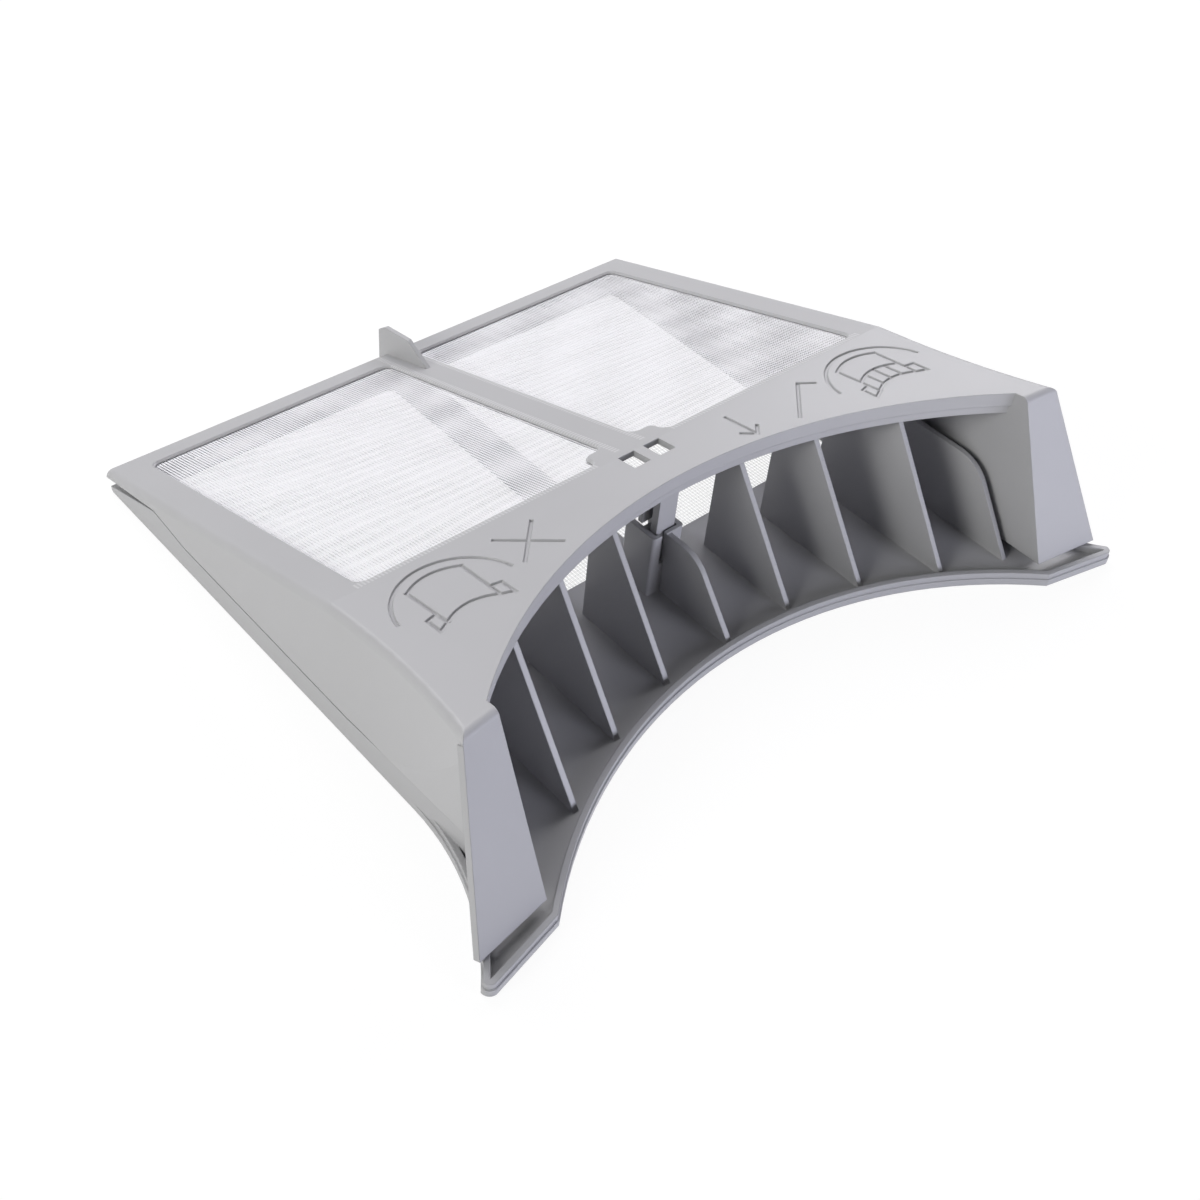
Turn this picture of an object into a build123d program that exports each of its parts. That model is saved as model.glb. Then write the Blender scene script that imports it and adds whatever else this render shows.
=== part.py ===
# Tumble dryer lint filter: two hinged plastic shells with four mesh panels, a curved
# mouth with guide vanes, and a snap latch in the middle of the mouth.
# Millimetres. +Z up, the mouth looks to -Y, the hinge runs along X at the narrow end.
# Depths are measured from the front line of the mouth and turned into Y by at().
import os
from math import atan, cos, radians, sqrt, tan

from build123d import *

# Overall sizes
tip_depth = 237.0            # narrow edge of the front shell
key_overhang = 5.0           # the key fin stands out behind the narrow edge
overall_depth = tip_depth + key_overhang
shell_half = 118.0           # half width of both shells behind the mouth
wall = 2.2                   # side walls and lip

# Front panel, two planes that meet at the bend
tip_height = 7.1             # top surface at the narrow edge
bend_depth = 102.5
bend_height = 50.2
post_depth = 33.8            # outer top corner of a post
post_height = 62.7
panel_wall = 2.3
panel_round = 2.6            # soft outer edge of the panel

# Front shell, mouth and posts
flare_run = 12.5             # the side walls flare from this far in front of the bend
flare_depth = bend_depth - flare_run
flare_out = 13.0             # width gained at the post foot
flare_half = shell_half + flare_out
draft_height = 9.0           # below the flare the wall leans in, down to this height
draft_margin = 1.0           # the leaning wall runs out this far beyond the post's top corner
post_foot_depth = 6.0
post_out = 6.0               # outer top corner of a post, beyond the side wall
post_half = shell_half + post_out
draft_lean = (post_out + draft_margin) / (post_height - draft_height)
post_foot_out = 19.0         # outer bottom corner of a post, beyond the side wall
post_foot_half = shell_half + post_foot_out
post_bottom = 6.0
post_yaw = 9.0               # degrees that a post's face looks towards the middle
post_lean = 0.43             # depth gained for each mm of height
post_wall = 2.4
post_cut_width = 1.8         # inner bottom corner of a post's face, cut off
post_cut_height = 6.5
post_back_gap = 22.5         # back wall of the hollow post, in front of the bend
post_back = bend_depth - post_back_gap
mouth_inset = 7.4            # open mouth inside the side walls
mouth_half = shell_half - mouth_inset
lip_end_depth = 40.3
lip_rise = 41.5              # the lip's arc goes back by this in the middle
lip_apex_depth = lip_end_depth + lip_rise
lip_height = 8.4             # full height of the stepped lip
lip_band = 5.2               # height of its upper band
lip_step = 0.9               # the lower band stands back by this

# Seam between the shells, seen from the side
seam_gap = 0.5
seam_height = 9.5
seam_front_depth = 21.0      # front end of the back shell's side ridge
seam_front_height = 14.8
seam_level_depth = 95.0
post_seam_depth = 45.0       # the post's inner walls reach down to their bottom from here
seam_turn_back = 52.0        # turn and peak of the seam, in front of the narrow edge
seam_turn_depth = tip_depth - seam_turn_back
seam_peak_back = 33.0
seam_peak_depth = tip_depth - seam_peak_back
seam_peak_height = 12.4
tip_edge = 2.6               # height of the front shell's edge at the tip

# Mesh windows of both shells
rib_half = 6.8
window_inset = 13.0          # window to the outside of the shell
window_half = shell_half - window_inset
window_tip_inset = 8.6
window_tip_depth = tip_depth - window_tip_inset
window_mouth_gap = 3.0       # window behind the bend
window_mouth_depth = bend_depth + window_mouth_gap
window_corner = 3.0
window_bevel = 0.8
boss_half = 15.0             # the latch boss reaches into both front windows
boss_reach = 9.5             # and ends this far behind the bend
boss_depth = bend_depth + boss_reach
back_window_tip_inset = 11.0
back_window_tip_depth = tip_depth - back_window_tip_inset
back_window_mouth_depth = 102.0
mesh_thick = 0.5
mesh_margin = 2.5            # hidden edge held in the plastic
mesh_drop = 1.1              # mesh below the outer surface of its shell
thread_pitch = 1.25
thread_gap = 0.65

# Latch
hole_centre = 5.35           # square holes in the boss, either side of the middle
hole_width = 6.7
hole_length = 7.8
hole_back = 4.3              # middle of a hole, in front of the bend
hole_depth = bend_depth - hole_back
tongue_half = 4.0
tongue_gap = 4.2             # tongue behind the lip
tongue_front = lip_apex_depth + tongue_gap
tongue_thick = 2.7
tongue_back = tongue_front + tongue_thick
tongue_bottom = 17.0
tongue_tip = 0.9             # thickness at the very end
tongue_taper = 5.0           # length of the tapered end
hook_height = 3.0
hook_reach = 1.4
root_half = 5.5              # plate behind the tongue's root
root_reach = 4.5
root_wall = 1.8
root_gap = 1.5               # root above the pocket
pocket_gap = 0.6             # tongue to the pocket's sides and back
pocket_wall = 2.0
pocket_front = tongue_front - pocket_wall
pocket_length = 14.0
pocket_round = 1.2
pocket_top = 27.5
pocket_slot = 2.0            # slot in the pocket's front, beside the middle vane
pocket_slot_bottom = 15.0
catch_gap = 0.4              # hook to the catch window
catch_bar = 2.4              # bar over the catch window

# Key fin at the narrow edge
key_thick = 1.8
key_bottom = 1.5
key_back_height = 15.6
key_peak_out = 1.3           # peak behind the narrow edge
key_peak_height = 18.4
key_front_back = 13.0        # front corner and foot, in front of the narrow edge
key_front_height = 20.8
key_foot_back = 26.5

# Back shell
floor_thick = 2.2
back_tip_inset = 2.4
back_tip_depth = tip_depth - back_tip_inset
back_tip_chamfer = 0.8
back_flare_depth = 62.0      # the floor flares from here to the mouth
rim_out = 22.0               # mouth rim beyond the side wall
rim_half = shell_half + rim_out
rim_height = 4.9
rim_step_height = 2.7        # the rim's lower tier
rim_step = 0.5               # the upper tier stands back by this
rim_wall = 2.4
rim_corner = 3.0
kink_inset = 7.5
kink_half = shell_half - kink_inset
kink_depth = 6.0
arc_rise = 42.7              # the rim's arc goes back by this in the middle
arc_apex_depth = kink_depth + arc_rise

# Guide vanes on the back shell
tall_vanes = 3               # on each side of the middle
vane_pitch = mouth_half / (tall_vanes + 1)
vane_thick = 2.0
vane_back_gap = 11.5         # backs of the vanes, in front of the bend
vane_back_depth = bend_depth - vane_back_gap
vane_foot_gap = 4.0          # vane foot behind the rim's arc
vane_top_gap = 2.9           # vane top behind the lip's arc
vane_drop = 9.0              # vane top below the panel's surface
end_vane_inset = 3.8         # end vane to the post
end_vane_half = mouth_half - end_vane_inset
end_vane_foot_depth = 21.5
end_vane_top = 32.5
end_vane_lean = 0.7          # depth gained for each mm of height at the front edge
end_vane_round = 16.0
middle_foot_gap = 1.2
middle_vane_top = 27.0
middle_vane_lean = 0.8
middle_vane_round = 13.0

# Hinge
hinge_inset = 1.1            # hinge axis in front of the back shell's narrow edge
hinge_depth = back_tip_depth - hinge_inset
hinge_height = 3.0
pin_radius = 1.2
pin_clearance = 0.05
knuckle_radius = 2.4
knuckle_inset = 38.0         # hinge knuckles to the outside of the shell
knuckle_centre = shell_half - knuckle_inset
clip_length = 9.6            # the back shell's snap clip
clip_slot = 1.7              # its open side
clip_root = 1.6              # the clip's root reaches this far into the floor
ear_thick = 2.0              # the front shell's ears
ear_gap = 0.3
notch_margin = 0.8           # floor is cut away this far round the ears

reach = 400.0                # longer than the part, for cutting right through
beyond = 30.0                # past the ends of the part, for cutting


def at(depth):
    return depth - overall_depth / 2


steep = (bend_height - tip_height) / (tip_depth - bend_depth)
gentle = (post_height - bend_height) / (bend_depth - post_depth)
panel_plane = Plane((0, at(bend_depth), bend_height), x_dir=(1, 0, 0), z_dir=(0, steep, 1))


def panel_height(depth):
    slope = steep if depth > bend_depth else gentle
    return bend_height + slope * (bend_depth - depth)


def along_panel(depth):
    return (depth - bend_depth) / cos(atan(steep))


def arc_depth(x, end_half, end_depth, apex_depth):
    # depth at x of the arc that rises from both ends to its apex in the middle
    rise = apex_depth - end_depth
    radius = (end_half ** 2 + rise ** 2) / (2 * rise)
    return apex_depth - radius + sqrt(radius ** 2 - x ** 2)


def lip_depth(x):
    return arc_depth(x, mouth_half, lip_end_depth, lip_apex_depth)


def rim_depth(x):
    return arc_depth(x, kink_half, kink_depth, arc_apex_depth)


def flare_x(depth, inset=0.0):
    # half width of the flared wall, an arc that leaves the straight side smoothly
    run = flare_depth - post_foot_depth
    radius = (run ** 2 + flare_out ** 2) / (2 * flare_out)
    return shell_half + radius - sqrt((radius + inset) ** 2 - (flare_depth - depth) ** 2)


def side_view(*pairs):
    # depth and height pairs as points in the YZ plane
    return [(at(depth), height) for depth, height in pairs]


def under_panel(drop):
    # side view of all that lies lower than the panel's surface by drop
    front, back = -beyond, tip_depth + beyond
    return side_view(
        (front, -beyond), (back, -beyond), (back, panel_height(back) - drop),
        (bend_depth, bend_height - drop), (front, panel_height(front) - drop))


def outside_draft(inset):
    # front view of all that lies outside the leaning side wall
    side, rise = shell_half - inset, post_height
    return [(side, draft_height), (reach, draft_height), (reach, draft_height + rise),
            (side + draft_lean * rise, draft_height + rise)]


def under_seam(front_depth, front_height):
    # side view of all that lies lower than the front shell's bottom edge
    edge = tip_height - tip_edge
    return side_view(
        (-beyond, -beyond), (tip_depth + beyond, -beyond), (tip_depth + beyond, edge),
        (tip_depth, edge), (seam_peak_depth, seam_peak_height + seam_gap),
        (seam_turn_depth, seam_height + seam_gap), (seam_level_depth, seam_height + seam_gap),
        (front_depth, front_height), (-beyond, front_height))


def window_outline(place, tip, mouth, grow, boss=None):
    # one mesh window, grown on all sides; place turns a depth into the sketch's own y
    inner, outer = rib_half - grow, window_half + grow
    top, low = place(tip) + grow, place(mouth) - grow
    if boss is None:
        return [(inner, low), (outer, low), (outer, top), (inner, top)]
    step = place(boss) - grow
    return [(inner, step), (boss_half - grow, step), (boss_half - grow, low),
            (outer, low), (outer, top), (inner, top)]


def thread_gaps(place, tip, mouth, boss=None):
    # long gaps between the threads, as centre and length
    count = int((window_half - rib_half) / thread_pitch)
    first = (window_half + rib_half - (count - 1) * thread_pitch) / 2
    for index in range(count):
        x = first + index * thread_pitch
        near = boss if boss is not None and x < boss_half + thread_pitch else mouth
        low, top = place(near), place(tip)
        yield (x, (low + top) / 2), top - low


# A post's front face, leaning back and turned a little to the middle
yaw_slope = tan(radians(post_yaw))
post_plane = Plane((post_half, at(post_depth), post_height), x_dir=(1, -yaw_slope, 0),
                   z_dir=(-yaw_slope, -1, post_lean))


def on_post(x, height):
    # point of the post's face in the face's own coordinates
    depth = post_depth - yaw_slope * (x - post_half) + post_lean * (height - post_height)
    local = post_plane.to_local_coords(Vector(x, at(depth), height))
    return (local.X, local.Y)


post_corners = [
    on_post(mouth_half, post_height - lip_height), on_post(post_half, post_height - panel_round),
    on_post(post_foot_half, post_bottom), on_post(mouth_half + post_cut_width, post_bottom),
    on_post(mouth_half, post_bottom + post_cut_height)]

# Hollow inside one post, open below
with BuildPart() as post_core:
    with BuildSketch():
        with BuildLine():
            front, back = post_foot_depth, post_back - wall
            centre = (front + back) / 2
            Polyline((flare_x(back, wall), at(back)), (mouth_half + wall, at(back)),
                     (mouth_half + wall, at(front)), (flare_x(front, wall), at(front)))
            ThreePointArc((flare_x(front, wall), at(front)), (flare_x(centre, wall), at(centre)),
                          (flare_x(back, wall), at(back)))
        make_face()
    extrude(amount=reach / 2)
    with BuildSketch(Plane.YZ):
        Polygon(*under_panel(panel_wall), align=None)
    extrude(amount=reach, both=True, mode=Mode.INTERSECT)
    with BuildSketch(Plane.XZ):
        Polygon(*outside_draft(wall), align=None)
    extrude(amount=reach, both=True, mode=Mode.SUBTRACT)
    with BuildSketch(post_plane.offset(-post_wall)):
        Rectangle(reach, reach)
    extrude(amount=reach, mode=Mode.SUBTRACT)

# Lower band of the lip, cut back from the front
with BuildPart() as lip_recess:
    with BuildSketch():
        with BuildLine():
            start = Vector(0, at(lip_apex_depth))
            middle = Vector(mouth_half / 2, at(lip_depth(mouth_half / 2)))
            end = Vector(mouth_half, at(lip_end_depth))
            back = Vector(0, lip_step)
            ThreePointArc(start, middle, end)
            Line(end, end + back)
            ThreePointArc(end + back, middle + back, start + back)
            Line(start + back, start)
        make_face()
    extrude(amount=reach / 2)
    with BuildSketch(Plane.YZ):
        Polygon(*under_panel(lip_band), align=None)
    extrude(amount=reach, both=True, mode=Mode.INTERSECT)

# Right half of the front shell
with BuildPart() as front_half:
    with BuildSketch():
        with BuildLine():
            Polyline((0, at(lip_apex_depth)), (0, at(tip_depth)), (shell_half, at(tip_depth)),
                     (shell_half, at(flare_depth)))
            flare = TangentArc((shell_half, at(flare_depth)), (flare_half, at(post_foot_depth)),
                               tangent=(0, -1))
            Polyline(flare @ 1, (mouth_half, at(post_foot_depth)), (mouth_half, at(lip_end_depth)))
            ThreePointArc((mouth_half, at(lip_end_depth)),
                          (mouth_half / 2, at(lip_depth(mouth_half / 2))), (0, at(lip_apex_depth)))
        make_face()
    extrude(amount=reach / 2)
    with BuildSketch(Plane.YZ):
        Polygon(*under_panel(0), align=None)
    extrude(amount=reach, both=True, mode=Mode.INTERSECT)
    with BuildSketch(post_plane):
        Rectangle(2 * (flare_half - mouth_half), reach)
    extrude(amount=reach / 4, mode=Mode.SUBTRACT)
    with BuildSketch(Plane.XZ):
        Polygon(*outside_draft(0), align=None)
    extrude(amount=reach, both=True, mode=Mode.SUBTRACT)
    outer_edges = [edge for edge in front_half.edges()
                   if edge.center().X > shell_half - wall / 2
                   and abs(edge.center().Z - panel_height(edge.center().Y - at(0))) < wall / 4]
    fillet(outer_edges, radius=panel_round)
    # pouch and mouth
    with BuildSketch():
        with BuildLine():
            inside = shell_half - wall
            Polyline((0, at(lip_apex_depth + wall)), (0, at(tip_depth - wall)),
                     (inside, at(tip_depth - wall)), (inside, at(post_back)),
                     (mouth_half, at(post_back)), (mouth_half, at(lip_end_depth + wall)))
            ThreePointArc((mouth_half, at(lip_end_depth + wall)),
                          (mouth_half / 2, at(lip_depth(mouth_half / 2) + wall)),
                          (0, at(lip_apex_depth + wall)))
        make_face()
    pouch = extrude(amount=reach / 2, mode=Mode.PRIVATE)
    with BuildSketch(Plane.YZ):
        Polygon(*under_panel(panel_wall), align=None)
    below = extrude(amount=reach, both=True, mode=Mode.PRIVATE)
    add(pouch.intersect(below), mode=Mode.SUBTRACT)
    with BuildSketch(Plane.YZ):
        Polygon(*under_panel(lip_height), align=None)
    mouth_space = extrude(amount=mouth_half, mode=Mode.PRIVATE)
    with BuildSketch(Plane.YZ):
        behind_lip = lip_apex_depth + 2 * wall
        Polygon(*side_view((-beyond, -beyond), (behind_lip, -beyond), (behind_lip, reach),
                           (-beyond, reach)), align=None)
    mouth_block = extrude(amount=reach, mode=Mode.PRIVATE)
    add(mouth_space.intersect(mouth_block), mode=Mode.SUBTRACT)
    add(lip_recess.part, mode=Mode.SUBTRACT)
    add(post_core.part, mode=Mode.SUBTRACT)
    # bottom edges: the post's inner walls reach lower than the side wall on its ridge
    with BuildSketch(Plane.YZ):
        Polygon(*under_seam(post_seam_depth, post_bottom), align=None)
    extrude(amount=reach, mode=Mode.SUBTRACT)
    with BuildSketch(Plane.YZ.offset(shell_half - wall - seam_gap)):
        Polygon(*under_seam(seam_front_depth, seam_front_height + seam_gap), align=None)
    extrude(amount=reach, mode=Mode.SUBTRACT)
    # flat plate of the post's front, wider than the wall behind it
    with BuildSketch(post_plane):
        Polygon(*post_corners, align=None)
    extrude(amount=-post_wall)
    # mesh window with bevelled edges, and the slot that holds the mesh
    with BuildSketch(panel_plane) as front_window:
        Polygon(*window_outline(along_panel, window_tip_depth, window_mouth_depth, 0, boss_depth),
                align=None)
        fillet(front_window.vertices(), radius=window_corner)
    extrude(amount=-2 * panel_wall, mode=Mode.SUBTRACT)
    panel_face = front_half.faces().filter_by(lambda face: face.inner_wires()).sort_by(Axis.Z)[-1]
    chamfer(panel_face.inner_wires()[0].edges(), length=window_bevel)
    with BuildSketch(panel_plane.offset(-mesh_drop - mesh_thick)):
        Polygon(*window_outline(along_panel, window_tip_depth, window_mouth_depth, mesh_margin,
                                boss_depth), align=None)
    extrude(amount=mesh_thick, mode=Mode.SUBTRACT)
    # square latch hole
    with BuildSketch(Plane.XY.offset(bend_height)):
        with Locations((hole_centre, at(hole_depth))):
            Rectangle(hole_width, hole_length)
    extrude(amount=beyond / 2, both=True, mode=Mode.SUBTRACT)
    # hinge pin between two ears
    hinge_plane = Plane.YZ.offset(knuckle_centre)
    half_span = clip_length / 2 + ear_gap
    with BuildSketch(hinge_plane):
        with Locations((at(hinge_depth), hinge_height)):
            Circle(pin_radius)
    extrude(amount=half_span + ear_thick / 2, both=True)
    for side in (-1, 1):
        with BuildSketch(hinge_plane.offset(side * half_span)):
            front, back = hinge_depth - knuckle_radius, hinge_depth + knuckle_radius
            with Locations((at(hinge_depth), hinge_height)):
                Circle(knuckle_radius)
            Polygon(*side_view(
                (front, hinge_height), (back, hinge_height),
                (back, panel_height(back) - panel_wall / 2),
                (front, panel_height(front) - panel_wall / 2)), align=None)
        extrude(amount=side * ear_thick)

# Front shell: both halves, the key fin and the latch tongue
hook_top = pocket_top - catch_bar - catch_gap
with BuildPart() as front_shell:
    add(front_half.part)
    mirror(about=Plane.YZ)
    with BuildSketch(Plane.YZ):
        key_foot_depth = tip_depth - key_foot_back
        edge = tip_height - tip_edge
        Polygon(*side_view(
            (overall_depth, key_bottom), (overall_depth, key_back_height),
            (tip_depth + key_peak_out, key_peak_height), (tip_depth - key_front_back, key_front_height),
            (key_foot_depth, panel_height(key_foot_depth) - panel_wall / 2),
            (tip_depth - wall, edge), (tip_depth, edge)), align=None)
    extrude(amount=key_thick / 2, both=True)
    with BuildSketch(Plane.YZ):
        tongue_root = panel_height(tongue_front) - panel_wall / 2
        hook_back = tongue_back + hook_reach
        Polygon(*side_view(
            (tongue_front, tongue_root), (tongue_front, tongue_bottom),
            (tongue_front + tongue_tip, tongue_bottom),
            (tongue_back, tongue_bottom + tongue_taper - hook_height / 2),
            (hook_back, hook_top - hook_height / 2), (hook_back, hook_top), (tongue_back, hook_top),
            (tongue_back, tongue_root)), align=None)
    extrude(amount=tongue_half, both=True)
    # web and plate that stiffen the tongue's root
    root_bottom = pocket_top + root_gap
    root_back = tongue_back + root_reach
    with BuildSketch(Plane.XY.offset(root_bottom)):
        with Locations((0, at(tongue_back))):
            Rectangle(root_wall, root_reach, align=(Align.CENTER, Align.MIN))
        with Locations((0, at(root_back))):
            Rectangle(2 * root_half, root_wall, align=(Align.CENTER, Align.MAX))
    extrude(amount=panel_height(root_back) - panel_wall / 2 - root_bottom)
front_shell.part.label = "front_shell"

# Right half of the back shell
with BuildPart() as back_half:
    with BuildSketch() as back_plan:
        with BuildLine():
            Polyline((0, at(arc_apex_depth)), (0, at(back_tip_depth)), (shell_half, at(back_tip_depth)),
                     (shell_half, at(back_flare_depth)))
            TangentArc((shell_half, at(back_flare_depth)), (rim_half, at(rim_corner)), tangent=(0, -1))
            TangentArc((rim_half, at(rim_corner)), (rim_half - rim_corner, at(0)), tangent=(0, -1))
            Line((rim_half - rim_corner, at(0)), (kink_half, at(kink_depth)))
            ThreePointArc((kink_half, at(kink_depth)), (kink_half / 2, at(rim_depth(kink_half / 2))),
                          (0, at(arc_apex_depth)))
        make_face()
    extrude(amount=floor_thick)
    tip_edges = back_half.edges().filter_by(Axis.X).group_by(Axis.Y)[-1].sort_by(Axis.Z)[:1]
    chamfer(tip_edges, length=back_tip_chamfer)
    # raised rim round the mouth, its upper tier a little behind the lower one
    mouth_zone = Location((0, at(back_flare_depth / 2)))
    middle_zone = Location((0, at(arc_apex_depth)))
    with BuildSketch():
        add(back_plan.sketch)
        offset(back_plan.sketch, amount=-rim_wall, mode=Mode.SUBTRACT)
        with Locations(mouth_zone):
            Rectangle(3 * rim_half, back_flare_depth, mode=Mode.INTERSECT)
        with Locations(middle_zone):
            Rectangle(2 * rim_wall, beyond, mode=Mode.SUBTRACT)
            Rectangle(rim_wall, rim_wall, align=Align.MIN)
    extrude(amount=rim_step_height)
    with BuildSketch():
        offset(back_plan.sketch, amount=-rim_step)
        offset(back_plan.sketch, amount=-rim_wall, mode=Mode.SUBTRACT)
        with Locations(mouth_zone):
            Rectangle(3 * rim_half, back_flare_depth, mode=Mode.INTERSECT)
        with Locations(middle_zone):
            Rectangle(2 * rim_wall, beyond, mode=Mode.SUBTRACT)
        with Locations(middle_zone * Location((0, rim_step))):
            Rectangle(rim_wall, rim_wall - rim_step, align=Align.MIN)
    extrude(amount=rim_height)
    # side ridge under the seam
    with BuildSketch(Plane.YZ.offset(shell_half)):
        low = floor_thick / 2
        ridge_foot_depth = seam_front_depth - post_lean * (seam_front_height - low)
        Polygon(*side_view(
            (ridge_foot_depth, low), (seam_front_depth, seam_front_height),
            (seam_level_depth, seam_height), (seam_turn_depth, seam_height),
            (seam_peak_depth, seam_peak_height), (back_tip_depth, floor_thick), (back_tip_depth, low)),
            align=None)
    extrude(amount=-wall)
    # mesh window and slot
    with BuildSketch() as back_window:
        Polygon(*window_outline(at, back_window_tip_depth, back_window_mouth_depth, 0), align=None)
        fillet(back_window.vertices(), radius=window_corner)
    extrude(amount=floor_thick, mode=Mode.SUBTRACT)
    with BuildSketch(Plane.XY.offset(mesh_drop)):
        Polygon(*window_outline(at, back_window_tip_depth, back_window_mouth_depth, mesh_margin),
                align=None)
    extrude(amount=mesh_thick, mode=Mode.SUBTRACT)
    # guide vanes
    for index in range(1, tall_vanes + 1):
        x = index * vane_pitch
        foot, top_depth = rim_depth(x) + vane_foot_gap, lip_depth(x) + vane_top_gap
        with BuildSketch(Plane.YZ.offset(x)):
            Polygon(*side_view(
                (foot, low), (top_depth, panel_height(top_depth) - vane_drop),
                (vane_back_depth, panel_height(vane_back_depth) - vane_drop), (vane_back_depth, low)),
                align=None)
        extrude(amount=vane_thick / 2, both=True)
    with BuildSketch(Plane.YZ.offset(end_vane_half)) as end_vane:
        lean = end_vane_lean * (end_vane_top - low)
        Polygon(*side_view(
            (end_vane_foot_depth, low), (end_vane_foot_depth + lean, end_vane_top),
            (vane_back_depth, end_vane_top), (vane_back_depth, low)), align=None)
        corner = end_vane.vertices().group_by(Axis.Y)[-1].sort_by(Axis.X)[:1]
        fillet(corner, radius=end_vane_round)
    extrude(amount=vane_thick / 2, both=True)
    # hinge clip in a notch of the floor
    notch_half = half_span + ear_thick + notch_margin
    notch_length = back_tip_depth - hinge_depth + knuckle_radius + notch_margin
    with BuildSketch():
        with Locations((knuckle_centre, at(back_tip_depth))):
            Rectangle(2 * notch_half, 2 * notch_length)
    extrude(amount=beyond, mode=Mode.SUBTRACT)
    with BuildSketch(Plane.YZ.offset(knuckle_centre)):
        clip_front = back_tip_depth - notch_length - clip_root
        with Locations((at(hinge_depth), hinge_height)):
            Circle(knuckle_radius)
        Polygon(*side_view(
            (clip_front, 0), (hinge_depth, hinge_height - knuckle_radius), (hinge_depth, floor_thick),
            (clip_front, floor_thick)), align=None)
        with Locations((at(hinge_depth), hinge_height)):
            Circle(pin_radius + pin_clearance, mode=Mode.SUBTRACT)
            Rectangle(beyond, clip_slot, align=(Align.MIN, Align.CENTER), mode=Mode.SUBTRACT)
    extrude(amount=clip_length / 2, both=True)

# Back shell: both halves, the middle vane and the latch pocket
with BuildPart() as back_shell:
    add(back_half.part)
    mirror(about=Plane.YZ)
    with BuildSketch(Plane.YZ) as middle_vane:
        foot = rim_depth(0) + middle_foot_gap
        lean = middle_vane_lean * (middle_vane_top - low)
        Polygon(*side_view(
            (foot, low), (foot + lean, middle_vane_top), (pocket_front, middle_vane_top),
            (pocket_front, low)), align=None)
        corner = middle_vane.vertices().group_by(Axis.Y)[-1].sort_by(Axis.X)[:1]
        fillet(corner, radius=middle_vane_round)
    extrude(amount=vane_thick / 2, both=True)
    pocket_half = tongue_half + pocket_gap
    pocket_rest = tongue_back + pocket_gap
    pocket_face = tongue_front - pocket_front - pocket_gap
    with BuildSketch(Plane.XY.offset(low)):
        with Locations((0, at(pocket_front + pocket_length / 2))):
            RectangleRounded(2 * (pocket_half + pocket_wall), pocket_length, pocket_round)
            Rectangle(2 * pocket_half, pocket_length, mode=Mode.SUBTRACT)
        with Locations((0, at(pocket_rest))):
            Rectangle(2 * pocket_half + pocket_wall, pocket_wall, align=(Align.CENTER, Align.MIN))
        with Locations((0, at(pocket_front))):
            Rectangle(2 * pocket_half + pocket_wall, pocket_face, align=(Align.CENTER, Align.MIN))
    extrude(amount=pocket_top - low)
    with BuildSketch(Plane.XZ.offset(-at(pocket_rest))):
        with Locations((0, pocket_top - catch_bar)):
            Rectangle(2 * pocket_half, hook_height + 2 * catch_gap + tongue_taper,
                      align=(Align.CENTER, Align.MAX))
    extrude(amount=-pocket_wall, mode=Mode.SUBTRACT)
    with BuildSketch(Plane.XZ.offset(-at(pocket_front))):
        with Locations((-vane_thick / 2, pocket_slot_bottom)):
            Rectangle(pocket_slot, pocket_top, align=(Align.MAX, Align.MIN))
    extrude(amount=-pocket_face, mode=Mode.SUBTRACT)
back_shell.part.label = "back_shell"


# One sheet of mesh, its threads parted by long gaps
def mesh_sheet(plane, place, tip, mouth, boss=None):
    with BuildPart() as sheet:
        with BuildSketch(plane):
            Polygon(*window_outline(place, tip, mouth, mesh_margin, boss), align=None)
            for centre, length in thread_gaps(place, tip, mouth, boss):
                with Locations(centre):
                    Rectangle(thread_gap, length, mode=Mode.SUBTRACT)
        extrude(amount=mesh_thick)
    return sheet.part


front_sheet = mesh_sheet(panel_plane.offset(-mesh_drop - mesh_thick), along_panel, window_tip_depth,
                         window_mouth_depth, boss_depth)
back_sheet = mesh_sheet(Plane.XY.offset(mesh_drop), at, back_window_tip_depth,
                        back_window_mouth_depth)

with BuildPart() as front_mesh_right:
    add(front_sheet)
front_mesh_right.part.label = "front_mesh_right"

with BuildPart() as front_mesh_left:
    mirror(front_sheet, about=Plane.YZ)
front_mesh_left.part.label = "front_mesh_left"

with BuildPart() as back_mesh_right:
    add(back_sheet)
back_mesh_right.part.label = "back_mesh_right"

with BuildPart() as back_mesh_left:
    mirror(back_sheet, about=Plane.YZ)
back_mesh_left.part.label = "back_mesh_left"

os.makedirs("parts", exist_ok=True)
export_step(front_shell.part, "parts/front_shell.step")
export_step(back_shell.part, "parts/back_shell.step")
export_step(front_mesh_left.part, "parts/front_mesh_left.step")
export_step(front_mesh_right.part, "parts/front_mesh_right.step")
export_step(back_mesh_left.part, "parts/back_mesh_left.step")
export_step(back_mesh_right.part, "parts/back_mesh_right.step")
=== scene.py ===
import math

import bpy
from mathutils import Matrix, Vector


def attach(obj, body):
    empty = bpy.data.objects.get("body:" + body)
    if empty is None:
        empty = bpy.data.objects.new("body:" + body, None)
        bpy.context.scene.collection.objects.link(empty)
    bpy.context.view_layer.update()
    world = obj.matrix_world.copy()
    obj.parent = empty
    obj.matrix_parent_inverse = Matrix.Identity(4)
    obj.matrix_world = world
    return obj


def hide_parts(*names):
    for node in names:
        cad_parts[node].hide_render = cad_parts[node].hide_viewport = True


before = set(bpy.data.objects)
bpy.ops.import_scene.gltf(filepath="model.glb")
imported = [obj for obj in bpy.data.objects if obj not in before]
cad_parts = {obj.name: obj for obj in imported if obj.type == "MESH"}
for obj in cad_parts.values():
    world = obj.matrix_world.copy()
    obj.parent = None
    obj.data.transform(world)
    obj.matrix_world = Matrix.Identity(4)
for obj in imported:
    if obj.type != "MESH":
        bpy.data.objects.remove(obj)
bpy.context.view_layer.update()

mm = 0.001
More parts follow.
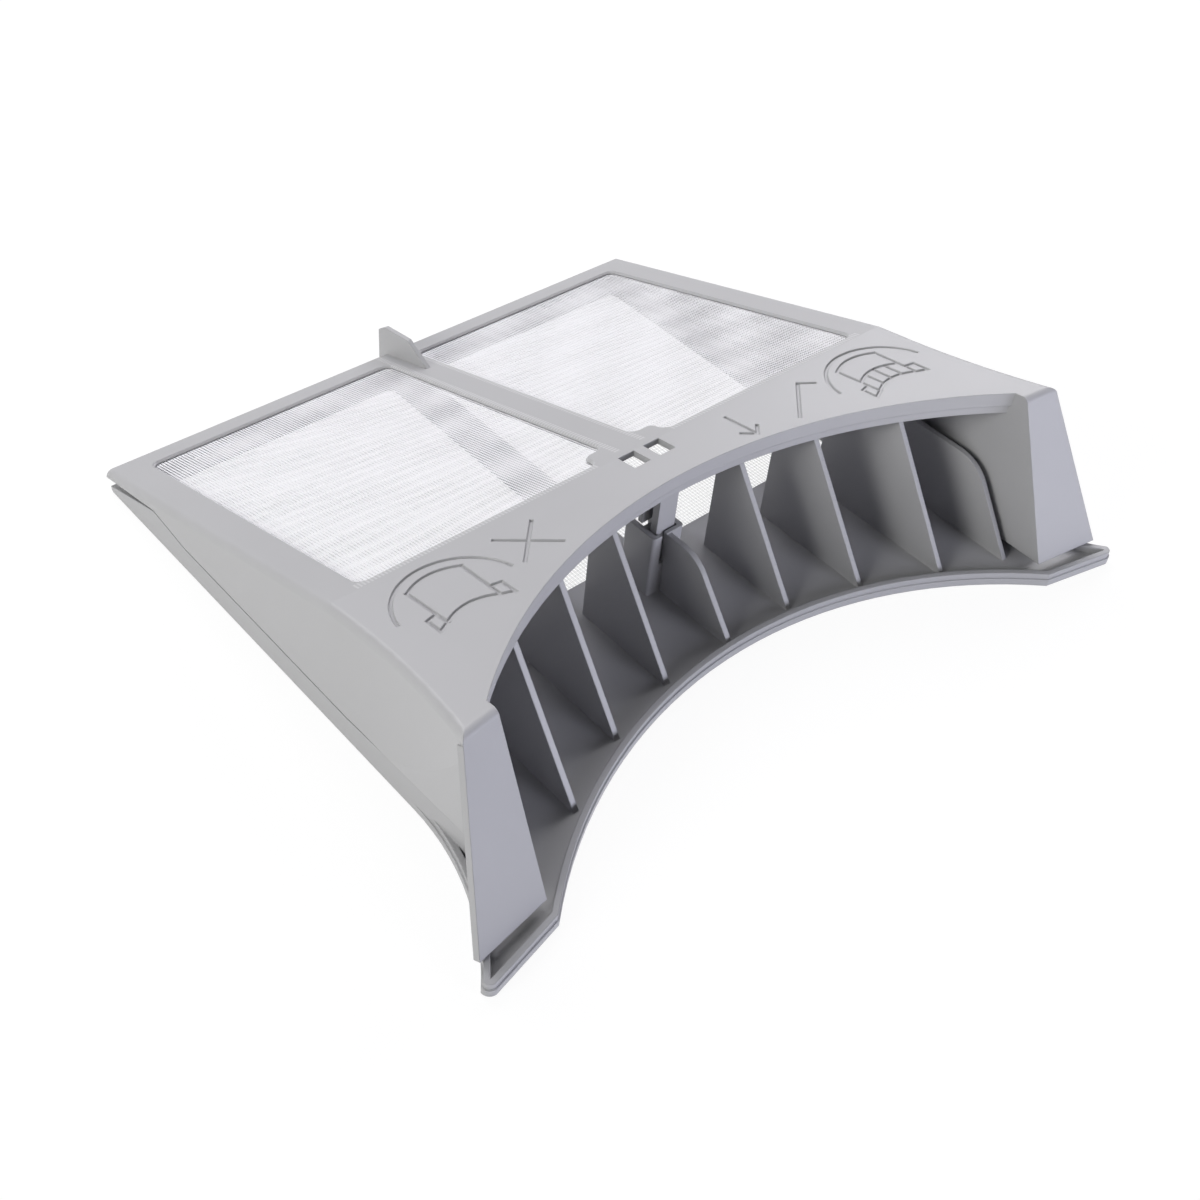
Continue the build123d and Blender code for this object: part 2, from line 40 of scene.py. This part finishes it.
plainWhite = (1.0, 1.0, 1.0, 1.0)


class Wire:  # one node socket, so that shader maths reads as plain sums
    def __init__(self, tree, socket=None):
        self.tree, self.socket = tree, socket

    def node(self, kind, settings=None, sockets=None, out=0):
        made = self.tree.nodes.new(kind)
        for name, value in (settings or {}).items():
            setattr(made, name, value)
        for key, value in (sockets or {}).items():
            if isinstance(value, Wire):
                self.tree.links.new(value.socket, made.inputs[key])
            else:
                made.inputs[key].default_value = value
        return Wire(self.tree, made.outputs[out])

    def out(self, name):
        return Wire(self.tree, self.socket.node.outputs[name])

    def into(self, shader, name):
        self.tree.links.new(self.socket, shader.inputs[name])

    def maths(self, operation, *values):
        return self.node("ShaderNodeMath", {"operation": operation}, dict(enumerate(values)))

    def __add__(self, other):
        return self.maths("ADD", self, other)

    def __sub__(self, other):
        return self.maths("SUBTRACT", self, other)

    def __rsub__(self, other):
        return self.maths("SUBTRACT", other, self)

    def __mul__(self, other):
        return self.maths("MULTIPLY", self, other)

    def __gt__(self, other):
        return self.maths("GREATER_THAN", self, other)

    def __lt__(self, other):
        return self.maths("LESS_THAN", self, other)

    __radd__ = __add__
    __rmul__ = __mul__


def newMaterial(name):
    material = bpy.data.materials.new(name)
    material.use_nodes = True
    return material, Wire(material.node_tree), material.node_tree.nodes["Principled BSDF"]


def noise(wire, coords, scale, detail=2.0):
    return wire.node("ShaderNodeTexNoise", None, {"Vector": coords, "Scale": scale, "Detail": detail})


def mixColour(wire, factor, first, second):
    return wire.node("ShaderNodeMix", {"data_type": "RGBA"}, {0: factor, 6: first, 7: second}, 2)


# Camera, at the photograph's angle
cameraSettings = {
    "place": (-0.2800, -0.2809, 0.3584),
    "right": (0.7478, -0.6591, 0.0796),
    "up": (0.4236, 0.5648, 0.7090),
    "sensor": 36.0,
    "lens": 46.35,
}


def makeCamera(s):
    data = bpy.data.cameras.new("camera")
    data.sensor_width, data.lens = s["sensor"], s["lens"]
    camera = bpy.data.objects.new("camera", data)
    right, up = Vector(s["right"]).normalized(), Vector(s["up"]).normalized()
    back = right.cross(up).normalized()
    turn = Matrix((right, back.cross(right), back)).transposed()
    camera.matrix_world = Matrix.Translation(s["place"]) @ turn.to_4x4()
    bpy.context.scene.collection.objects.link(camera)
    bpy.context.scene.camera = camera


makeCamera(cameraSettings)
print("camera set")


# Floor, sky and lamps
studio = {
    "floorSize": 6.0,
    "floorDrop": 0.0003,
    "floorColour": (0.93, 0.93, 0.93, 1.0),
    "floorRoughness": 0.9,
    "floorSpecular": 0.1,
    "floorGlow": 0.90,          # share of plain white that the camera sees in the floor
    "glowStrength": 1.03,
    "skyColour": (0.95, 0.96, 1.0, 1.0),
    "skyStrength": 0.02,        # what lights the part; the camera sees plain white
    "lampSize": 0.8,
    "lamps": (                  # name, place, aim, watts, colour
        ("leftSoftbox", (-1.30, 0.08, 0.58), (0.0, 0.0, 0.02), 11.8, (1.0, 1.0, 0.97)),
        ("topSoftbox", (0.10, 0.90, 1.10), (0.0, 0.0, 0.0), 11.4, (0.99, 0.98, 1.02)),
        ("rightSoftbox", (1.00, 0.60, 0.80), (0.0, 0.0, 0.0), 7.8, (0.99, 0.98, 1.02)),
        ("frontSoftbox", (0.40, -1.35, 0.25), (0.0, 0.0, 0.02), 14.4, (0.90, 0.91, 1.06)),
    ),
}


def seenDirectly(wire):
    rays = wire.node("ShaderNodeLightPath")
    seen = rays.maths("MAXIMUM", rays, rays.out("Is Glossy Ray"))
    return seen.maths("MAXIMUM", seen, rays.out("Is Transmission Ray"))


def makeFloor(s):
    half = s["floorSize"] / 2
    corners = [(-half, -half, 0), (half, -half, 0), (half, half, 0), (-half, half, 0)]
    mesh = bpy.data.meshes.new("floor")
    mesh.from_pydata(corners, [], [(0, 1, 2, 3)])
    floor = bpy.data.objects.new("floor", mesh)
    floor.location.z = -s["floorDrop"]
    bpy.context.scene.collection.objects.link(floor)
    material, wire, shader = newMaterial("paleFloor")
    shader.inputs["Base Color"].default_value = s["floorColour"]
    shader.inputs["Roughness"].default_value = s["floorRoughness"]
    shader.inputs["Specular IOR Level"].default_value = s["floorSpecular"]
    glow = wire.node("ShaderNodeEmission", None, {"Color": plainWhite, "Strength": s["glowStrength"]})
    lit = Wire(wire.tree, shader.outputs[0])
    above = wire.node("ShaderNodeMixShader", None, {0: seenDirectly(wire) * s["floorGlow"], 1: lit, 2: glow})
    below = wire.node("ShaderNodeBsdfTransparent")  # views from underneath look through the floor
    under = wire.node("ShaderNodeNewGeometry").out("Backfacing")
    both = wire.node("ShaderNodeMixShader", None, {0: under, 1: above, 2: below})
    both.into(wire.tree.nodes["Material Output"], "Surface")
    mesh.materials.append(material)


def makeSky(s):
    world = bpy.data.worlds.new("studioSky")
    world.use_nodes = True
    bpy.context.scene.world = world
    wire = Wire(world.node_tree)
    dim = wire.node("ShaderNodeBackground", None, {"Color": s["skyColour"], "Strength": s["skyStrength"]})
    bright = wire.node("ShaderNodeBackground", None, {"Color": plainWhite, "Strength": 1.0})
    sky = wire.node("ShaderNodeMixShader", None, {0: seenDirectly(wire), 1: dim, 2: bright})
    sky.into(world.node_tree.nodes["World Output"], "Surface")


def makeLamps(s):
    for name, place, aim, watts, colour in s["lamps"]:
        data = bpy.data.lights.new(name, "AREA")
        data.shape, data.size, data.energy, data.color = "DISK", s["lampSize"], watts, colour
        lamp = bpy.data.objects.new(name, data)
        lamp.location = place
        lamp.rotation_euler = (Vector(aim) - Vector(place)).to_track_quat("-Z", "Y").to_euler()
        bpy.context.scene.collection.objects.link(lamp)


bpy.context.scene.view_settings.view_transform = "Standard"
makeFloor(studio)
makeSky(studio)
makeLamps(studio)
print("studio set")


# Moulded plastic of the two shells
plastic = {
    "frontColour": (0.412, 0.412, 0.422, 1.0),
    "backColour": (0.400, 0.400, 0.411, 1.0),
    "mottle": 0.035,            # share of tone that drifts over the moulding
    "mottleScale": 38.0,
    "driftShare": 0.75,         # of the mottle; the grain makes the rest
    "grainScale": 2100.0,       # spark-eroded grain of the mould
    "grainDetail": 3.0,
    "grainHeight": 0.00003,
    "grainStrength": 0.6,
    "roughness": 0.42,
    "roughnessDrift": 0.12,
    "roughnessGrain": 0.1,
    "frontEdge": 0.0005,        # radius of the softened edges
    "backEdge": 0.0006,
    "edgeSamples": 6,
    "specular": 0.5,
}
imprint = {                     # the mesh's hidden edge shows through the borders beside the windows
    "mouthStart": -0.0182,
    "mouthEnd": -0.0156,
    "mouthNear": 0.016,
    "mouthFar": 0.107,
    "ribNear": 0.0043,
    "ribFar": 0.0066,
    "pitch": 0.00125,
    "height": 3.0,              # beside the grain
    "paleness": 0.22,
}


def hatchStrips(wire, coords, s):
    parts = wire.node("ShaderNodeSeparateXYZ", None, {0: coords})
    across, along = parts.maths("ABSOLUTE", parts.out("X")), parts.out("Y")
    mouth = (along > s["mouthStart"]) * (along < s["mouthEnd"])
    mouth = mouth * (across > s["mouthNear"]) * (across < s["mouthFar"])
    rib = (across > s["ribNear"]) * (across < s["ribFar"]) * (along > s["mouthEnd"])
    turns = 2 * math.pi / s["pitch"]
    waves = mouth * across.maths("SINE", across * turns) + rib * along.maths("SINE", along * turns)
    return (mouth + rib + waves) * 0.5


def mouldedPlastic(name, colour, edge, s, marks=None):
    material, wire, shader = newMaterial(name)
    coords = wire.node("ShaderNodeTexCoord").out("Object")
    drift = noise(wire, coords, s["mottleScale"])
    grain = noise(wire, coords, s["grainScale"], s["grainDetail"])
    dark = [part * (1 - s["mottle"]) for part in colour[:3]] + [1.0]
    light = [part * (1 + s["mottle"]) for part in colour[:3]] + [1.0]
    base = mixColour(wire, drift * s["driftShare"] + grain * (1 - s["driftShare"]), dark, light)
    height = grain
    if marks:
        hatch = hatchStrips(wire, coords, marks)
        height = grain + hatch * marks["height"]
        base = mixColour(wire, hatch * marks["paleness"], base, plainWhite)
    base.into(shader, "Base Color")
    uneven = (drift - 0.5) * s["roughnessDrift"] + (grain - 0.5) * s["roughnessGrain"]
    (s["roughness"] + uneven).into(shader, "Roughness")
    soft = wire.node("ShaderNodeBevel", {"samples": s["edgeSamples"]}, {"Radius": edge})
    bump = wire.node(
        "ShaderNodeBump", None,
        {"Strength": s["grainStrength"], "Distance": s["grainHeight"], "Height": height, "Normal": soft},
    )
    bump.into(shader, "Normal")
    shader.inputs["Specular IOR Level"].default_value = s["specular"]
    return material


def dress(node, material):
    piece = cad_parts[node]
    piece.data.materials.clear()
    piece.data.materials.append(material)
    return piece


frontGrey = mouldedPlastic("frontShellGrey", plastic["frontColour"], plastic["frontEdge"], plastic, imprint)
frontShell = dress("front_shell", frontGrey)
dress("back_shell", mouldedPlastic("backShellGrey", plastic["backColour"], plastic["backEdge"], plastic))
print("shells finished")


# The panel beside the mouth, and the signs engraved in it, in mm: x across, depth from the mouth's front line
panel = {
    "originDepth": 121.0,       # depth of the frame's origin
    "bendDepth": 102.5,
    "bendHeight": 50.2,
    "slope": 0.182,
}
signs = {
    "grooveFloor": 0.38,        # half width of a groove's floor
    "grooveFlare": 0.50,        # and what it gains for each mm of height
    "grooveDepth": 0.60,
    "clearance": 0.4,           # the cutter stands this far above the panel
    "mitreLimit": 0.4,          # keeps a sharp corner's mitre short
    "arcSteps": 22,
    "weldGap": 0.000001,
    "crispAngle": 28.0,
    "normalWeight": 100,
    "cross": (-57.5, 87.4, 7.2),
    "tick": ((70.0, 91.0), (65.8, 94.8), (50.0, 79.4)),
    "arrow": (33.0, 89.0, 7.0, 3.6),
    "leftFilter": (-88.7, 82.2),
    "rightFilter": (90.6, 81.6),
}
filterSign = {                  # a little drawing of this filter, in mm from its middle
    "topHalf": 9.6,
    "topDepth": 9.0,
    "mouthHalf": 9.2,
    "mouthDepth": -9.2,
    "lipDepth": -1.2,           # upper line of the drawing that shows the vanes
    "bow": 3.0,                 # rise of its curved lines
    "ear": ((9.4, -4.2), (13.0, -5.0), (13.0, -11.0), (9.2, -9.2)),
    "vanes": (-4.6, 0.0, 4.6),
    "coverMiddle": (0.0, -4.3),
    "coverRadius": 20.2,
    "coverEnds": (10.0, 170.0),
}


def arcPath(centre, radius, start, end, steps):
    turns = [math.radians(start + (end - start) * i / steps) for i in range(steps + 1)]
    return [(centre[0] + radius * math.cos(t), centre[1] + radius * math.sin(t)) for t in turns]


def bowPath(half, depth, rise, steps):
    return [(half * t, depth + rise * (1 - t * t)) for t in (2 * i / steps - 1 for i in range(steps + 1))]


def crossPaths(s):
    x, depth, half = s["cross"]
    return [
        [(x - half, depth - half), (x + half, depth + half)],
        [(x - half, depth + half), (x + half, depth - half)],
    ]


def arrowPaths(s):
    x, depth, half, head = s["arrow"]
    tip = depth - half
    return [
        [(x, depth + half), (x, tip)],
        [(x - head, tip + head), (x, tip), (x + head, tip + head)],
    ]


def filterPaths(centre, withVanes, s, steps):
    topHalf, topDepth, bow = s["topHalf"], s["topDepth"], s["bow"]
    half, depth = s["mouthHalf"], s["mouthDepth"]
    upper = s["lipDepth"] if withVanes else depth
    paths = [
        arcPath(s["coverMiddle"], s["coverRadius"], *s["coverEnds"], steps),
        bowPath(topHalf, topDepth, bow, steps),
        bowPath(half, upper, bow, steps),
    ]
    for side in (-1, 1):
        paths.append([(side * topHalf, topDepth), (side * half, depth)])
        paths.append([(side * x, y) for x, y in s["ear"]])
    if withVanes:
        paths.append(bowPath(half, depth, bow, steps))
        for x in s["vanes"]:
            rise = bow * (1 - (x / half) ** 2)
            paths.append([(x, upper + rise), (x, depth + rise)])
    return [[(centre[0] + x, centre[1] + y) for x, y in path] for path in paths]


def onPanel(x, depth, lift, s):
    normal = Vector((0.0, s["slope"], 1.0)).normalized()
    height = s["bendHeight"] + s["slope"] * (s["bendDepth"] - depth)
    return (Vector((x, depth - s["originDepth"], height)) + normal * lift) * mm


def grooveCutter(paths, s):
    verts, faces = [], []
    floorHalf, depth, top = s["grooveFloor"], s["grooveDepth"], s["clearance"]
    topHalf = floorHalf + s["grooveFlare"] * (depth + top)
    ring = ((-floorHalf, -depth), (floorHalf, -depth), (topHalf, top), (-topHalf, top))
    for path in paths:
        points = [Vector(p) for p in path]
        first = len(verts)
        for i, point in enumerate(points):
            before = (point - points[i - 1]).normalized() if i else None
            after = (points[i + 1] - point).normalized() if i + 1 < len(points) else None
            before, after = before or after, after or before
            side = Vector((-before.y - after.y, before.x + after.x)).normalized()
            side /= max(side.dot(Vector((-after.y, after.x))), s["mitreLimit"])
            end = before * ((i + 1 == len(points)) - (i == 0))
            for across, lift in ring:
                spot = point + side * across + end * abs(across)
                verts.append(onPanel(spot.x, spot.y, lift, panel))
        last = len(verts) - 4
        faces.append((first, first + 3, first + 2, first + 1))
        faces.append((last, last + 1, last + 2, last + 3))
        for low in range(first, last, 4):
            for k in range(4):
                m = (k + 1) % 4
                faces.append((low + k, low + m, low + 4 + m, low + 4 + k))
    mesh = bpy.data.meshes.new("grooveCutter")
    mesh.from_pydata(verts, [], faces)
    cutter = bpy.data.objects.new("grooveCutter", mesh)
    cutter.hide_render = True
    cutter.hide_viewport = True
    bpy.context.scene.collection.objects.link(cutter)
    return cutter


def engrave(piece, s):
    paths = crossPaths(s) + [s["tick"]] + arrowPaths(s)
    paths += filterPaths(s["leftFilter"], False, filterSign, s["arcSteps"])
    paths += filterPaths(s["rightFilter"], True, filterSign, s["arcSteps"])
    weld = piece.modifiers.new("joinFaces", "WELD")
    weld.merge_threshold = s["weldGap"]
    cut = piece.modifiers.new("engraving", "BOOLEAN")
    cut.operation, cut.solver, cut.use_self = "DIFFERENCE", "EXACT", True
    cut.object = grooveCutter(paths, s)
    split = piece.modifiers.new("crispEdges", "EDGE_SPLIT")
    split.split_angle = math.radians(s["crispAngle"])
    even = piece.modifiers.new("evenShading", "WEIGHTED_NORMAL")
    even.keep_sharp, even.weight = True, s["normalWeight"]


engrave(frontShell, signs)
print("signs engraved")


# Woven mesh in the four windows, in mm
weaveSettings = {
    "bunching": 0.20,           # share by which a thread widens and narrows
    "bunchWaves": ((0.11, 0.07), (-0.05, 0.19)),
    "threadHeight": 0.11,
    "corners": (30, 150, 270),  # degrees round a three-sided thread
    "lift": 0.02,               # how far a thread rides over and under
    "wander": 0.24,             # slow drift of the threads
    "longSway": (9.0, 5.0),     # waves of the drift, along and across the sheet
    "shortSway": (21.0, -8.0),
    "shortShare": 0.6,
    "runSway": (-2.0, 4.0),
    "jitter": 0.04,             # uneven spacing from thread to thread
    "jitterStep": 7.3,
    "near": 4.3,                # inner edge of a sheet, from the middle
    "far": 107.5,
    "drop": 1.35,               # middle of the sheet under the outer surface
    "front": {
        "start": 103.0,         # depths of the sheet's ends
        "end": 230.9,
        "slope": 0.3204,
        "alpha": 0.92,
        "warpPitch": 1.1,       # threads that run from the mouth to the tip
        "warpWidth": 0.414,     # half widths of the flat threads
        "weftPitch": 0.85,
        "weftWidth": 0.05,
    },
    "back": {
        "start": 99.5,
        "end": 228.5,
        "slope": 0.0,
        "alpha": 0.12,          # the lower sheets are clearer
        "warpPitch": 1.25,
        "warpWidth": 0.47,
        "weftPitch": 1.5,
        "weftWidth": 0.07,
    },
}
nylon = {
    "toneScale": 55.0,
    "darkTone": (0.94, 0.94, 0.96, 1.0),
    "lightTone": (0.97, 0.97, 0.985, 1.0),
    "roughness": 0.42,
    "roughnessDrift": 0.12,
    "specular": 0.35,
}


def threadLooks(name, alpha, s):
    material, wire, shader = newMaterial(name)
    coords = wire.node("ShaderNodeTexCoord").out("Object")
    tone = noise(wire, coords, s["toneScale"])
    mixColour(wire, tone, s["darkTone"], s["lightTone"]).into(shader, "Base Color")
    (s["roughness"] + tone * s["roughnessDrift"]).into(shader, "Roughness")
    shader.inputs["Alpha"].default_value = alpha
    shader.inputs["Specular IOR Level"].default_value = s["specular"]
    return material


def weave(name, shell, side, material, s):
    own = s[shell]
    start, slope = own["start"], own["slope"]
    stretch = math.hypot(1.0, slope)
    width, length = s["far"] - s["near"], (own["end"] - start) * stretch
    along = Vector((0.0, 1.0, -slope)) / stretch
    normal = Vector((0.0, slope, 1.0)) / stretch
    if shell == "front":
        height = panel["bendHeight"] - slope * (start - panel["bendDepth"])
        corner = Vector((0.0, start - panel["originDepth"], height)) - normal * s["drop"]
    else:
        corner = Vector((0.0, start - panel["originDepth"], s["drop"]))
    warps, wefts = round(width / own["warpPitch"]), round(length / own["weftPitch"])
    verts, faces = [], []

    def thread(spots, across, halfWidths):
        first = len(verts)
        for spot, halfWidth in zip(spots, halfWidths):
            for turn in s["corners"]:
                wide = across * (halfWidth * math.cos(math.radians(turn)))
                high = normal * (s["threadHeight"] * math.sin(math.radians(turn)))
                verts.append((spot + wide + high) * mm)
        last = len(verts) - 3
        faces.append((first, first + 2, first + 1))
        faces.append((last, last + 1, last + 2))
        for ring in range(first, last, 3):
            for k in range(3):
                m = (k + 1) % 3
                faces.append((ring + k, ring + m, ring + 3 + m, ring + 3 + k))

    def wave(turns, first, second, shift=0.0):
        return math.sin(turns[0] * first + turns[1] * second + shift)

    def place(i, j, sign):
        u = (i + 0.5) / warps
        v = (j + 0.5) / wefts
        drift = s["wander"] * math.sin(math.pi * u) * math.sin(math.pi * v)
        sway = wave(s["longSway"], v, u, side) + s["shortShare"] * wave(s["shortSway"], v, u)
        x = s["near"] + u * width + drift * sway + s["jitter"] * math.sin(s["jitterStep"] * i)
        run = v * length + drift * wave(s["runSway"], v, u)
        lift = s["lift"] * (1 if (i + j) % 2 else -1) * sign
        return corner + Vector((side * x, 0.0, 0.0)) + along * run + normal * lift

    def warpWidth(i, j):
        slow, quick = s["bunchWaves"]
        return own["warpWidth"] * (1 + s["bunching"] * wave(slow, i, j) * wave(quick, i, j))

    for i in range(warps):
        widths = [warpWidth(i, j) for j in range(wefts)]
        thread([place(i, j, 1) for j in range(wefts)], Vector((1.0, 0.0, 0.0)), widths)
    for j in range(wefts):
        thread([place(i, j, -1) for i in range(warps)], along, [own["weftWidth"]] * warps)
    mesh = bpy.data.meshes.new(name)
    mesh.from_pydata(verts, [], faces)
    mesh.materials.append(material)
    piece = bpy.data.objects.new(name, mesh)
    bpy.context.scene.collection.objects.link(piece)
    return piece, (width * mm, length * mm)


for shell in ("front", "back"):
    threads = threadLooks(shell + "MeshNylon", weaveSettings[shell]["alpha"], nylon)
    for hand, side in (("left", -1), ("right", 1)):
        piece, flat = weave(shell + hand.capitalize() + "Weave", shell, side, threads, weaveSettings)
        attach(piece, shell + "_half")
        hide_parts(shell + "_mesh_" + hand)
print("mesh woven")
